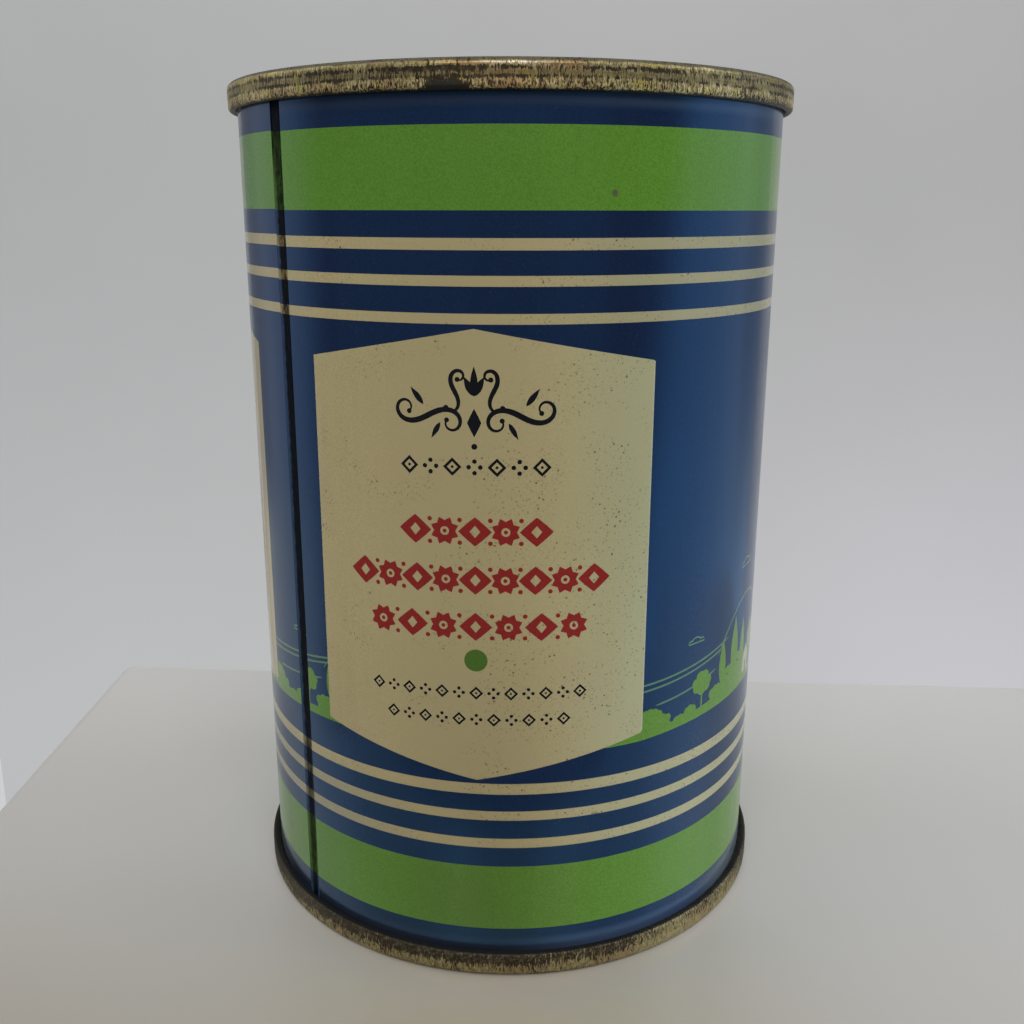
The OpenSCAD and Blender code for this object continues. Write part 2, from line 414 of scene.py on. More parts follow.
def add_coin_panel(s):
    """Three stacks of coins seen from the side, under coins that fall."""
    cream(panel_outline(s))
    blue(hollow_lozenge(s, 71.6, 0.8, 1.5, 24))
    for place, z, size in ((-8.6, 58.6, 2.5), (0.4, 66.2, 2.5), (8.8, 68.2, 1.9)):
        coin(s + place, z, size)
    for place, count in ((-10.6, 6), (0, 9), (10.6, 12)):
        for i in range(count):
            # The coins of a stack lie a little to the left and right of each other
            coin_edge(s + place + 0.35 * math.sin(2.1 * i + place), 36.6 + i * (COIN_THICK + COIN_GAP))
    blue_row(s, 33.0, 13.6, 13, BLUE_SMALL)


def lay_out_print():
    add("print_ground", "blue_print", rectangle(*SHEET, PRINT_LOW, CAN_H - PRINT_LOW))
    add_bands()
    # The last fields are cut by the side seam, so they are laid out at both ends of the sheet
    for panel, seed in ((PANELS[0], 3), (PANELS[1], 5), (PANELS[2], 8), (PANELS[2] - WALL_ROUND, 8)):
        add_fields(panel + PANEL_HALF, seed)
    add_front_panel(PANELS[0])
    for panel in PANELS[1:]:
        add_coin_panel(panel)


# From the flat sheet to films on the wall

def inside(points, outline):
    """Which of the points lie inside an outline."""
    poly = np.array(outline)
    x, y = points[:, 0], points[:, 1]
    hit = np.zeros(len(points), bool)
    near = (x > poly[:, 0].min()) & (x < poly[:, 0].max()) & (y > poly[:, 1].min()) & (y < poly[:, 1].max())
    px, py = x[near], y[near]
    odd = np.zeros(len(px), bool)
    for (x0, y0), (x1, y1) in zip(poly, np.roll(poly, -1, axis=0)):
        if y0 != y1:
            odd ^= ((y0 > py) != (y1 > py)) & (px < (x1 - x0) * (py - y0) / (y1 - y0) + x0)
    hit[near] = odd
    return hit


def lines_to_cut():
    """The points and edges of all outlines, and of the upright lines between facets."""
    points, edges = [], []
    for _, _, outline in print_shapes:
        first = len(points)
        points += [Vector(p) for p in outline]
        edges += [(first + i, first + (i + 1) % len(outline)) for i in range(len(outline))]
    facets = math.ceil((SHEET[1] - SHEET[0]) / FACET)
    for s in np.linspace(*SHEET, facets + 1)[1:-1]:
        first = len(points)
        points += [Vector((s, PRINT_LOW)), Vector((s, CAN_H - PRINT_LOW))]
        edges.append((first, first + 1))
    return points, edges


def cut_sheet():
    """All outlines and facet lines cut into each other: points, triangles and each one's shape."""
    flat, _, faces, _, _, _ = delaunay_2d_cdt(*lines_to_cut(), [], 0, WELD)
    flat = np.array([tuple(p) for p in flat])
    faces = np.array(faces)
    corners = flat[faces]
    a, b = corners[:, 1] - corners[:, 0], corners[:, 2] - corners[:, 0]
    area = a[:, 0] * b[:, 1] - a[:, 1] * b[:, 0]
    faces[area < 0] = faces[area < 0][:, ::-1]
    real = abs(area) > NO_AREA
    faces, corners = faces[real], corners[real]
    middles = corners.mean(1)
    owner = np.full(len(faces), -1)
    for i, (_, _, outline) in enumerate(print_shapes):
        owner[inside(middles, outline)] = i
    owner[(middles[:, 0] < SHEET[0]) | (middles[:, 0] > SHEET[1])] = -1
    return flat, faces, owner


def on_wall(flat, radius):
    """Points of the flat sheet rolled round the can, in metres, and the way that each faces."""
    turn = flat[:, 0] / WALL_R
    out = np.stack([np.sin(turn), -np.cos(turn), np.zeros(len(turn))], 1)
    rise = flat[:, 1] + PRINT_CLIMB * (flat[:, 0] - SHEET[0]) / (SHEET[1] - SHEET[0])
    points = out * radius
    points[:, 2] = rise
    return points * MM, out


def closed_faces(faces, count):
    """A film's faces: its front, its back turned round, and strips along all open edges."""
    pairs = np.concatenate([faces[:, [0, 1]], faces[:, [1, 2]], faces[:, [2, 0]]])
    known = {tuple(p) for p in pairs}
    open_edges = sorted((a, b) for a, b in known if (b, a) not in known)
    front = [tuple(f) for f in faces]
    back = [tuple(f[::-1] + count) for f in faces]
    return front + back + [(a, a + count, b + count, b) for a, b in open_edges]


def face_out(mesh, faces, front, out):
    """Sets the normals: straight out on the front, straight in on the back, and square on the strips."""
    normals = np.zeros((len(mesh.loops), 3))
    corner = 0
    for n, face in enumerate(faces):
        for v in face:
            if n < front:
                normals[corner] = out[v]
            elif n < 2 * front:
                normals[corner] = -out[v - len(out)]
            else:
                normals[corner] = mesh.polygons[n].normal
            corner += 1
    mesh.normals_split_custom_set(normals.tolist())


def film(name, flat, faces):
    """A closed film of ink: a face, a back that nearly meets the sheet, and its edges."""
    used, faces = np.unique(faces, return_inverse=True)
    faces = faces.reshape(-1, 3)
    flat = flat[used]
    face_points, out = on_wall(flat, WALL_R + INK_LIFT)
    back_points, _ = on_wall(flat, WALL_R + INK_FOOT)
    everything = closed_faces(faces, len(flat))
    mesh = bpy.data.meshes.new(name)
    mesh.from_pydata(np.concatenate([face_points, back_points]).tolist(), [], everything)
    mesh.update()
    mesh.shade_smooth()
    face_out(mesh, everything, len(faces), out)
    obj = bpy.data.objects.new(name, mesh)
    bpy.context.scene.collection.objects.link(obj)
    return obj


# Materials

# How high the relief of an ink's waves, of the rims' wear and of clumps stands, in metres
WAVE_HEIGHT = 0.00006
WEAR_HEIGHT = 0.00005
CLUMP_HEIGHT = 0.00008


class Shader:
    """Builds one material's nodes."""

    def __init__(self, name):
        self.material = bpy.data.materials.new(name)
        self.material.use_nodes = True
        self.tree = self.material.node_tree
        self.surface = self.tree.nodes["Principled BSDF"]
        self.place = self.add("ShaderNodeTexCoord").outputs["Object"]

    def add(self, kind, **settings):
        node = self.tree.nodes.new(kind)
        for key, value in settings.items():
            setattr(node, key, value)
        return node

    def put(self, socket, value):
        """Links a socket to another, or sets it to a constant."""
        if isinstance(value, bpy.types.NodeSocket):
            self.tree.links.new(value, socket)
        else:
            socket.default_value = value

    def math(self, operation, a, b=0.0, c=0.0, clamp=False):
        node = self.add("ShaderNodeMath", operation=operation, use_clamp=clamp)
        for socket, value in zip(node.inputs, (a, b, c)):
            self.put(socket, value)
        return node.outputs[0]

    def stretched(self, across, up):
        """Object coordinates scaled across the can's axis and along it."""
        node = self.add("ShaderNodeVectorMath", operation="MULTIPLY")
        self.put(node.inputs[0], self.place)
        node.inputs[1].default_value = (across, across, up)
        return node.outputs[0]

    def noise(self, scale, detail=2.0, rough=0.5, place=None):
        node = self.add("ShaderNodeTexNoise")
        self.put(node.inputs["Vector"], self.place if place is None else place)
        node.inputs["Scale"].default_value = scale
        node.inputs["Detail"].default_value = detail
        node.inputs["Roughness"].default_value = rough
        return node.outputs["Fac"]

    def drawn(self, across, up, detail=2.0, rough=0.5):
        """Noise with one scale across the can's axis and another along it, as streaks and ticks have."""
        return self.noise(1.0, detail, rough, self.stretched(across, up))

    def specks(self, scale, size):
        """1 inside small round specks, one in each cell, and 0 elsewhere."""
        node = self.add("ShaderNodeTexVoronoi")
        self.put(node.inputs["Vector"], self.place)
        node.inputs["Scale"].default_value = scale
        return self.ramp(node.outputs["Distance"], size, size * 0.6)

    def ramp(self, value, low, high):
        """0 at low and 1 at high, smooth in between."""
        node = self.add("ShaderNodeMapRange", interpolation_type="SMOOTHSTEP")
        self.put(node.inputs["Value"], value)
        node.inputs["From Min"].default_value = low
        node.inputs["From Max"].default_value = high
        return node.outputs["Result"]

    def mix(self, amount, a, b, blend="MIX"):
        node = self.add("ShaderNodeMix", data_type="RGBA", blend_type=blend)
        self.put(node.inputs["Factor"], amount)
        for socket, value in ((node.inputs["A"], a), (node.inputs["B"], b)):
            self.put(socket, (*value, 1.0) if isinstance(value, tuple) else value)
        return node.outputs["Result"]

    def over(self, tone, colour, *amounts):
        """A tone with a colour laid over it, as thickly as the product of the amounts says."""
        return self.mix(self.product(*amounts), tone, colour)

    def tinted(self, tone, factors, *amounts):
        """A tone with its channels multiplied by factors, as far as the product of the amounts says."""
        return self.mix(self.product(*amounts), tone, factors, "MULTIPLY")

    def axis(self, name):
        node = self.add("ShaderNodeSeparateXYZ")
        self.put(node.inputs[0], self.place)
        return node.outputs[name]

    def millimetres(self, name):
        return self.math("DIVIDE", self.axis(name), MM)

    def from_axis(self):
        """Distance from the can's axis, in millimetres."""
        node = self.add("ShaderNodeVectorMath", operation="LENGTH")
        self.put(node.inputs[0], self.stretched(1, 0))
        return self.math("DIVIDE", node.outputs["Value"], MM)

    def spot(self, s, z, size):
        """1 in a ragged spot on the wall and 0 elsewhere."""
        node = self.add("ShaderNodeVectorMath", operation="DISTANCE")
        self.put(node.inputs[0], self.place)
        turn = s / WALL_R
        node.inputs[1].default_value = (WALL_R * MM * math.sin(turn), -WALL_R * MM * math.cos(turn), z * MM)
        ragged = self.math("MULTIPLY_ADD", self.noise(2600, 2.0), size * 0.9 * MM, node.outputs["Value"])
        return self.ramp(ragged, size * 1.4 * MM, size * 0.9 * MM)

    def near(self, value, middle, half):
        """1 where a value is at middle, falling smoothly to 0 at half away from it."""
        return self.ramp(self.math("ABSOLUTE", self.math("SUBTRACT", value, middle)), half, 0.0)

    def product(self, first, *others):
        """Product of values."""
        so_far = first
        for value in others:
            so_far = self.math("MULTIPLY", so_far, value)
        return so_far

    def total(self, *terms):
        """Sum of values, each as it is or as a (value, weight) pair."""
        so_far = 0.0
        for term in terms:
            value, weight = term if isinstance(term, tuple) else (term, 1.0)
            so_far = self.math("MULTIPLY_ADD", value, weight, so_far)
        return so_far

    def bump(self, height, strength, distance):
        node = self.add("ShaderNodeBump")
        self.put(node.inputs["Height"], height)
        node.inputs["Strength"].default_value = strength
        node.inputs["Distance"].default_value = distance
        return node.outputs["Normal"]

    def finish(self, **sockets):
        """Sets the surface's sockets by name, and gives the material."""
        for name, value in sockets.items():
            value = (*value, 1.0) if isinstance(value, tuple) and len(value) == 3 else value
            self.put(self.surface.inputs[name.replace("_", " ")], value)
        return self.material


def scaled(colour, factor):
    return tuple(c * factor for c in colour)


def ink_body(s, colour, reach):
    """Ink with a fine grain, darker clouds and paler upright streaks, and its grain and clouds."""
    grain = s.ramp(s.noise(5200, 1.5), 0.3, 0.7)
    cloud = s.ramp(s.noise(95, 3.0, 0.6), 0.25, 0.75)
    streak = s.ramp(s.drawn(900, 60), 0.3, 0.7)
    tone = s.mix(grain, scaled(colour, 1 - reach), scaled(colour, 1 + reach))
    tone = s.over(tone, scaled(colour, 0.72), cloud, 0.16)
    tone = s.over(tone, scaled(colour, 1.3), streak, 0.08)
    return tone, grain, cloud


def green_marks_and_painted_shade(s, tone, x, z):
    """Yellow flecks, one grey spot high up, and painted shade that makes the middle browner at the foot."""
    flecks = s.ramp(s.noise(1700, 3.0, 0.7), 0.6, 0.72)
    tone = s.over(tone, (0.17, 0.26, 0.03), flecks, 0.5)
    tone = s.over(tone, (0.11, 0.12, 0.07), s.spot(14.38, 89.25, 0.5))
    # Painted shade: the green is darker and browner low down in the middle
    return s.tinted(tone, (0.88, 0.83, 0.88), s.ramp(z, 16, 13), s.near(x, -2, 15))


def blue_dust_and_painted_light(s, tone, x, z):
    """Specks of dust, a darker band over the bottom seam at the front, painted light in the corners by both
    rims, bluer to the right, and a painted reflection low at the sides.
    """
    dust = s.ramp(s.noise(1300, 3.0, 0.75), 0.62, 0.78)
    tone = s.over(tone, (0.06, 0.09, 0.13), dust, 0.25)
    tone = s.over(tone, (0.014, 0.017, 0.022), s.ramp(z, 6.2, 5.0), s.ramp(x, 16, 6), 0.75)
    # Painted light over the bottom rim: paler at the front, brighter and bluer to the right
    low_painted_light = s.mix(s.ramp(x, 2, 14), (0.026, 0.036, 0.06), (0.06, 0.095, 0.175))
    tone = s.over(tone, low_painted_light, s.ramp(z, 4.9, 3.9), 0.75)
    # Painted reflection of the pale plinth, low down at both sides
    sides = s.ramp(s.math("ABSOLUTE", x), 25, 31)
    tone = s.over(tone, (0.15, 0.18, 0.19), s.ramp(z, 6.0, 4.8), sides, 0.75)
    # Painted light under the top rim, where its overhang shades the wall, bluer to the right
    high_painted_light = s.mix(s.ramp(x, 4, 18), (0.044, 0.048, 0.068), (0.07, 0.11, 0.18))
    return s.over(tone, high_painted_light, s.ramp(z, 96.9, 98.1), 0.6)


def cream_marks_and_painted_light(s, tone, x, z):
    """Brown blushes, a middle made browner with painted shade, a right made paler and greener with painted
    light, a brown spot, and uneven stripes.
    """
    blush = s.ramp(s.noise(150, 2.0, 0.5), 0.52, 0.68)
    tone = s.over(tone, (0.50, 0.39, 0.23), blush, 0.3)
    # Painted shade: the middle is darker and browner
    tone = s.over(tone, (0.488, 0.415, 0.224), s.near(x, -1, 14))
    # Painted light: the right is paler and greener
    tone = s.over(tone, (0.46, 0.455, 0.27), s.ramp(x, 6, 18))
    tone = s.over(tone, (0.20, 0.12, 0.05), s.spot(13.9, 19.96, 0.7), 0.6)
    # The stripes are darker high up at the right, and darker low down at the left with painted shade
    tone = s.tinted(tone, (0.91, 0.87, 0.88), s.ramp(z, 74, 76), s.ramp(x, 4, 16))
    return s.tinted(tone, (0.80, 0.87, 1.0), s.ramp(z, 25, 21), s.ramp(x, -4, -17))


def painted_light_low_down(s, tone, x, z):
    """Low down the print is darkened with painted shade to the left and lightened with painted light to the
    right.
    """
    tone = s.tinted(tone, (0.80, 0.82, 0.85), s.ramp(z, 40, 14), s.ramp(x, -10, -24))
    return s.tinted(tone, (1.19, 1.2, 1.25), s.ramp(z, 60, 22), s.ramp(x, 2, 16))


def pinholes(s, x):
    """Pinholes of three sizes, which crowd to the right of the middle of a panel, as on the front."""
    crowd = s.ramp(s.total((s.ramp(x, -8, 13), 0.17), s.noise(160, 2.0)), 0.51, 0.66)
    holes = s.total((s.specks(1000, 0.15), 0.8), (s.specks(2100, 0.24), 0.5), (s.specks(3300, 0.3), 0.25))
    return s.math("MULTIPLY", holes, crowd, clamp=True)


def ink(name, colour):
    """Litho ink under a yellowed gloss varnish, with the marks of its age, and painted light and shade."""
    s = Shader(name)
    x, z = s.millimetres("X"), s.millimetres("Z")
    tone, grain, cloud = ink_body(s, colour, CREAM_GRAIN if name == "cream_print" else GRAIN)
    marks = {"green_print": green_marks_and_painted_shade, "blue_print": blue_dust_and_painted_light, "cream_print": cream_marks_and_painted_light}
    if name in marks:
        tone = marks[name](s, tone, x, z)
    # Painted shade low down to the left and painted light low down to the right, on every ink
    tone = painted_light_low_down(s, tone, x, z)
    if name in PINHOLES:
        tone = s.over(tone, (0.05, 0.035, 0.02), pinholes(s, x), PINHOLES[name])
    waves = s.bump(s.total(s.noise(420, 2.0), (grain, 0.12)), 0.12, WAVE_HEIGHT)
    varnish = BLUE_VARNISH if name == "blue_print" else CLEAR_VARNISH
    return s.finish(Base_Color=tone, Roughness=s.total((cloud, 0.08), 0.16), Normal=waves, Coat_Normal=waves,
                    Coat_Roughness=0.06, **varnish)


class Rims:
    """Places and shares on the two rims, which the functions of their lacquer have in common."""

    def __init__(self, s):
        self.x = s.millimetres("X")
        self.z = s.millimetres("Z")
        self.upper = s.math("GREATER_THAN", self.z, CAN_H / 2)
        self.lower = s.math("SUBTRACT", 1.0, self.upper)
        self.rim = s.ramp(s.from_axis(), 31.2, 32.6)
        # Depth below the top, a little uneven, so that lines along the rim waver
        self.depth = s.total((self.z, -1.0), CAN_H - 0.15, (s.drawn(420, 0), 0.3))
        self.ticks = s.drawn(6200, 1500, 2.0, 0.6)
        self.patches = s.drawn(210, 260)
        self.bare_place = s.product(s.near(self.x, -2.3, 3.0), s.near(self.depth, 2.8, 1.1))
        self.right = s.ramp(self.x, 6, 22)
        # The crown that is rubbed dull, the grimy corner over the bottom rim, and that rim's sides, darkened
        # with painted shade
        self.crown = s.product(s.ramp(self.depth, 0.52, 0.28), self.upper)
        self.corner = s.product(s.ramp(self.z, 2.76, 2.95), self.rim, self.lower)
        self.sides = s.product(s.total(s.ramp(self.x, -24, -31), s.ramp(self.x, 31, 33.5)), self.lower)


def top_wear(s, at):
    """How much more the top rim wears: two broken lines, the edge by the wall, and uneven stretches."""
    runs = s.drawn(170, 0, 1.0)
    first_line = s.product(s.near(at.depth, 1.0, 0.34), s.math("MULTIPLY_ADD", runs, 0.6, -0.15))
    second_line = s.product(s.near(at.depth, 1.78, 0.3), s.math("MULTIPLY_ADD", at.patches, 0.6, -0.16))
    return s.total(first_line, second_line, (at.bare_place, 0.9), (s.ramp(at.depth, 2.7, 3.1), 0.35),
                   (s.near(at.depth, 0.55, 0.35), -0.06), (s.near(at.depth, 1.4, 0.5), -0.03),
                   (s.product(s.near(at.depth, 1.2, 0.5), s.near(at.x, -5, 11)), 0.16),
                   (s.product(s.near(at.depth, 0.9, 0.4), s.near(at.x, 7, 7)), -0.06),
                   (s.product(s.near(at.depth, 0.9, 0.4), s.near(at.x, 17, 8)), 0.09),
                   (s.product(s.near(at.depth, 2.8, 0.6), s.ramp(at.x, 23, 30)), 0.14))


def bottom_wear(s, at):
    """How much more the bottom rim wears: most on its top edge, and less to the right."""
    return s.total((s.ramp(at.z, 0.9, 2.5), 0.24), (s.ramp(at.z, 0.3, 0.0), 0.1), (at.right, -0.12),
                   (s.ramp(at.x, -17, -25), 0.05), (s.ramp(at.x, 26, 29), 0.05),
                   (s.product(s.ramp(at.z, 1.2, 2.4), s.ramp(at.x, 19, 26)), -0.09),
                   (s.product(s.near(at.z, 1.8, 0.4), s.ramp(at.x, 24, 14)), 0.05))


def rim_wear(s, at):
    """1 where the lacquer is rubbed through, in ticks and strokes that crowd where the rims wear most."""
    more = s.total(s.product(top_wear(s, at), at.upper), s.product(bottom_wear(s, at), at.lower))
    strokes = s.drawn(2100, 800, 3.0, 0.6)
    drive = s.total((at.ticks, 0.95), (strokes, 0.40), (at.patches, 0.30), s.product(more, at.rim),
                    (at.rim, 0.06), -0.415)
    return s.ramp(drive, 0.515, 0.56)


def gold_tone_and_painted_light(s, at):
    """The lacquer's colour: a shining and a dull gold, brown and yellow patches, darker and lighter zones, a
    painted glint on the top rim, and painted light on the bottom rim to the right.
    """
    shine = s.ramp(s.drawn(4300, 1700, 3.0, 0.7), 0.36, 0.64)
    yellow = s.ramp(s.drawn(520, 700), 0.55, 0.7)
    crest = s.near(at.depth, 0.6, 0.4)
    gold = s.mix(shine, (0.21, 0.165, 0.065), (0.70, 0.60, 0.32))
    gold = s.over(gold, (0.46, 0.28, 0.14), s.ramp(at.patches, 0.5, 0.64), 0.55)
    gold = s.over(gold, (0.57, 0.48, 0.12), yellow, 0.6)
    gold = s.over(gold, (0.15, 0.125, 0.065), s.near(at.depth, 1.4, 0.7), 0.62)
    gold = s.tinted(gold, (1.22, 1.2, 1.22), s.near(at.depth, 2.4, 0.7))
    gold = s.tinted(gold, (0.72, 0.72, 0.72), crest, s.near(at.x, 8, 9))
    gold = s.tinted(gold, (0.5, 0.5, 0.55), crest, s.ramp(at.x, 21, 28))
    gold = s.tinted(gold, (1.0, 0.90, 0.86), s.near(at.x, 3, 14), at.upper)
    # The crown is dull, but for a painted glint, a bright stretch right of the front
    bright = s.product(s.near(at.depth, 0.62, 0.3), s.near(at.x, 4.2, 4.5), at.upper)
    gold = s.over(gold, (0.10, 0.094, 0.066), at.crown)
    gold = s.over(gold, (1.0, 0.95, 0.80), bright, s.ramp(at.ticks, 0.44, 0.54))
    gold = s.over(gold, (0.12, 0.10, 0.055), at.lower, 0.55)
    # Painted light: the bottom rim lighter and bluer to the right
    return s.tinted(gold, (1.25, 1.3, 1.4), at.right, at.lower)


def top_marks(s, at, tone, worn):
    """Fine black ticks in the top rim's lower gold zone, and a bare patch crossed by a row of pale ones."""
    sharp = s.drawn(7400, 2200, 1.0)
    black = s.product(s.ramp(sharp, 0.57, 0.62), s.near(at.depth, 2.45, 0.65), at.upper)
    bare = s.product(s.ramp(at.bare_place, 0.35, 0.6), at.upper)
    tone = s.over(tone, (0.012, 0.010, 0.008), black)
    tone = s.over(tone, (0.013, 0.015, 0.020), bare, worn)
    return s.over(tone, (0.28, 0.28, 0.25), s.near(at.depth, 2.15, 0.16), s.ramp(sharp, 0.48, 0.54), bare)


def bottom_marks(s, at, tone):
    """Pale flecks on the top of the bottom rim, fewer to the left, grime over it, and painted shade at its
    sides.
    """
    flecks = s.ramp(s.drawn(3600, 2600, 2.0, 0.6), 0.54, 0.64)
    fewer = s.total((s.ramp(at.x, -20, 4), 0.7), 0.3)
    tone = s.over(tone, (0.17, 0.155, 0.12), flecks, s.near(at.z, 2.5, 0.65), fewer, at.lower)
    tone = s.over(tone, (0.007, 0.010, 0.018), at.corner, 0.95)
    # Painted shade on the bottom rim's left and right sides
    return s.over(tone, (0.014, 0.017, 0.018), at.sides, at.rim, 0.7)


def gold_lacquer():
    """Gold lacquered tinplate, rubbed through along the rims in broken lines of upright ticks."""
    s = Shader("gold_lacquer")
    at = Rims(s)
    worn = rim_wear(s, at)
    dirt = s.ramp(s.drawn(1900, 1500, 3.0, 0.65), 0.45, 0.70)
    tone = s.mix(worn, gold_tone_and_painted_light(s, at), s.mix(dirt, (0.015, 0.013, 0.010), (0.085, 0.065, 0.045)))
    tone = bottom_marks(s, at, top_marks(s, at, tone, worn))
    matt = s.math("MAXIMUM", at.corner, s.math("MAXIMUM", at.crown, s.product(at.sides, 0.7)))
    metal = s.product(s.total(0.45, (worn, -0.35)), s.math("SUBTRACT", 1.0, matt))
    # Black metal throws back less than black paint, as thick grime does
    metal = s.math("MAXIMUM", metal, s.product(at.corner, 0.5))
    relief = s.total(s.noise(1500, 3.0), (worn, -1.0), (at.ticks, 0.4))
    return s.finish(Base_Color=tone, Metallic=metal, Specular_Tint=(1.0, 0.85, 0.5),
                    Roughness=s.total((worn, 0.2), (at.ticks, 0.12), (matt, 0.4), 0.25),
                    Normal=s.bump(relief, 0.4, WEAR_HEIGHT))


# The print's colours along the side seam, darkened by dirt and by painted shade in its crease: under thick
# dirt, under thin dirt, and clean
SEAM_BLUE = ((0.001, 0.0025, 0.005), (0.004, 0.008, 0.017), (0.040, 0.075, 0.150))
SEAM_BANDS = (
    (GREEN_BANDS, (0.006, 0.013, 0.002), (0.030, 0.068, 0.010), (0.080, 0.155, 0.045)),
    (LOW_STRIPES, (0.016, 0.016, 0.011), (0.15, 0.14, 0.08), (0.24, 0.22, 0.15)),
    (HIGH_STRIPES, (0.045, 0.033, 0.016), (0.32, 0.25, 0.11), (0.30, 0.27, 0.17)),
)


def clean_share(s, z, thin):
    """1 where the print beside the seam's dark line is clean: to its left, and low down to its right."""
    turn = SIDE_SEAM / WALL_R
    aside = s.total((s.axis("X"), math.cos(turn) / MM), (s.axis("Y"), math.sin(turn) / MM), (thin, 0.12))
    left = s.product(s.ramp(aside, -0.9, -1.25), s.ramp(z, 95, 90))
    right = s.product(s.ramp(aside, -0.15, 0.3), s.ramp(z, 30, 14))
    return s.math("MAXIMUM", left, right)


def seam_dirt_and_shade(s):
    """How the print looks along the side seam, where dirt and painted shade in the crease darken most of it,
    and how thin the dirt lies.
    """
    thin = s.ramp(s.drawn(2200, 900, 3.0, 0.6), 0.38, 0.62)
    z = s.millimetres("Z")
    clean = clean_share(s, z, thin)

    # Dirt and painted shade in the crease darken the print, except where it is clean
    def under_dirt_and_shade(dark, light, bare):
        return s.mix(clean, s.mix(thin, dark, light), bare)

    tone = under_dirt_and_shade(*SEAM_BLUE)
    for bands, *colours in SEAM_BANDS:
        band_tone = under_dirt_and_shade(*colours)
        for low, high in bands:
            here = s.product(s.math("GREATER_THAN", z, low), s.math("LESS_THAN", z, high))
            tone = s.over(tone, band_tone, here)
    return tone, thin


def body_sheet():
    """Bare tinplate inside, and on the folds of the side seam the print of the wall, dirty and darkened with
    painted shade.
    """
    s = Shader("body_sheet")
    outer, thin = seam_dirt_and_shade(s)
    outside = s.math("GREATER_THAN", s.from_axis(), WALL_R - 0.1)
    tin = s.mix(s.ramp(s.noise(300, 4.0), 0.3, 0.7), (0.40, 0.37, 0.30), (0.56, 0.53, 0.46))
    return s.finish(Base_Color=s.over(tin, outer, outside), Metallic=s.total((outside, -0.9), 0.9),
                    Roughness=s.total((thin, 0.15), 0.6), Specular_IOR_Level=0.03)


def seam_solder():
    """Oxidised solder under dirt, painted shade and smears of the print's colours."""
    s = Shader("seam_solder")
    smear, thin = seam_dirt_and_shade(s)
    clumps = s.ramp(s.noise(1200, 4.0, 0.65), 0.3, 0.7)
    return s.finish(Base_Color=s.over(smear, (0.004, 0.004, 0.004), clumps, 0.6), Specular_IOR_Level=0.04,
                    Roughness=s.total((thin, 0.2), 0.5), Normal=s.bump(clumps, 0.5, CLUMP_HEIGHT))


def sealing_compound():
    """Matt rubber-like compound."""
    s = Shader("sealing_compound")
    clumps = s.ramp(s.noise(2500, 4.0, 0.65), 0.3, 0.7)
    tone = s.mix(clumps, (0.10, 0.095, 0.085), (0.16, 0.15, 0.13))
    return s.finish(Base_Color=tone, Specular_IOR_Level=0.1, Roughness=s.total((clumps, 0.2), 0.5),
                    Normal=s.bump(clumps, 0.5, CLUMP_HEIGHT))


def dress_nodes():
    gold = gold_lacquer()
    compound = sealing_compound()
    chosen = {"body": body_sheet(), "side_seam_solder": seam_solder(), "top_end": gold, "bottom_end": gold,
              "top_seam_compound": compound, "bottom_seam_compound": compound}
    for name, material in chosen.items():
        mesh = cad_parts[name].data
        mesh.materials.clear()
        mesh.materials.append(material)


def dress_print():
    lay_out_print()
    flat, faces, owner = cut_sheet()
    materials = {name: ink(name, colour) for name, (colour, _) in INKS.items()}
    pieces = {}
    for i, (piece, colour, _) in enumerate(print_shapes):
        pieces.setdefault((piece, colour), []).append(i)
    for (piece, colour), members in pieces.items():
        obj = film(piece, flat, faces[np.isin(owner, members)])
        obj.data.materials.append(materials[colour])
        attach(obj, "root")


# Studio

# Corners of the plinth, which ends behind the can and to its left as the photographed one does
PLINTH = ((-0.0714, -0.07), (0.156, -0.056), (0.15, 0.0628), (-0.0828, 0.0484))
FLOOR_Z = -0.5
WALL_TOP = 1.0
# How far from the can the room's wall and the cards stand, and how round the wall meets the floor
ROOM_R = 0.62
CARD_R = 0.9
COVE_R = 0.15
CARD_DARK = (0.05, 0.05, 0.05)
CARD_LIGHT = (0.07, 0.07, 0.07)
# The photograph's camera: how far it is from the can's axis and over its base in millimetres, at which
# angle round the can, how it is turned, tipped down and rolled in degrees, and its lens in pixels of the frame
CAMERA_OUT = 144.57
CAMERA_UP = 87.66
CAMERA_AROUND = 6.65
CAMERA_TURN = CAMERA_AROUND - 0.107
CAMERA_TIP = 15.455
CAMERA_ROLL = -0.116
LENS_PIXELS = 1094.61
FRAME_PIXELS = 1024
SENSOR = 36.0


def toward(azimuth, elevation, distance):
    """A place seen from the can at an angle from its front and above the floor."""
    a, e = math.radians(azimuth), math.radians(elevation)
    return Vector((math.sin(a) * math.cos(e), -math.cos(a) * math.cos(e), math.sin(e))) * distance


def stage_object(name, points, faces):
    mesh = bpy.data.meshes.new(name)
    mesh.from_pydata(points, [], faces)
    obj = bpy.data.objects.new(name, mesh)
    bpy.context.scene.collection.objects.link(obj)
    return obj


def turned(name, profile, first, last, steps):
    """A profile of radius and height turned about the can's axis between two azimuths."""
    turns = np.radians(np.linspace(first, last, steps + 1))
    points = [(r * math.sin(t), -r * math.cos(t), z) for t in turns for r, z in profile]
    n = len(profile)
    quads = [(i * n + j, i * n + j + 1, (i + 1) * n + j + 1, (i + 1) * n + j)
             for i in range(steps) for j in range(n - 1)]
    obj = stage_object(name, points, quads)
    obj.data.shade_smooth()
    return obj


def paint(name, dark, light, gloss=0.2, rough=0.42):
    """Faintly clouded paint: its shader, its colour and its other sockets."""
    s = Shader(name)
    tone = s.mix(s.ramp(s.noise(7, 3.0), 0.3, 0.7), dark, light)
    normal = s.bump(s.noise(900, 2.0), 0.05, 0.0002)
    return s, tone, {"Roughness": rough, "Specular_IOR_Level": gloss, "Normal": normal}


def glowing(name, dark, light, glow):
    """Faintly clouded paint with a glow of its own."""
    s, tone, more = paint(name, dark, light)
    return s.finish(Base_Color=tone, Emission_Color=glow, Emission_Strength=1.0, **more)


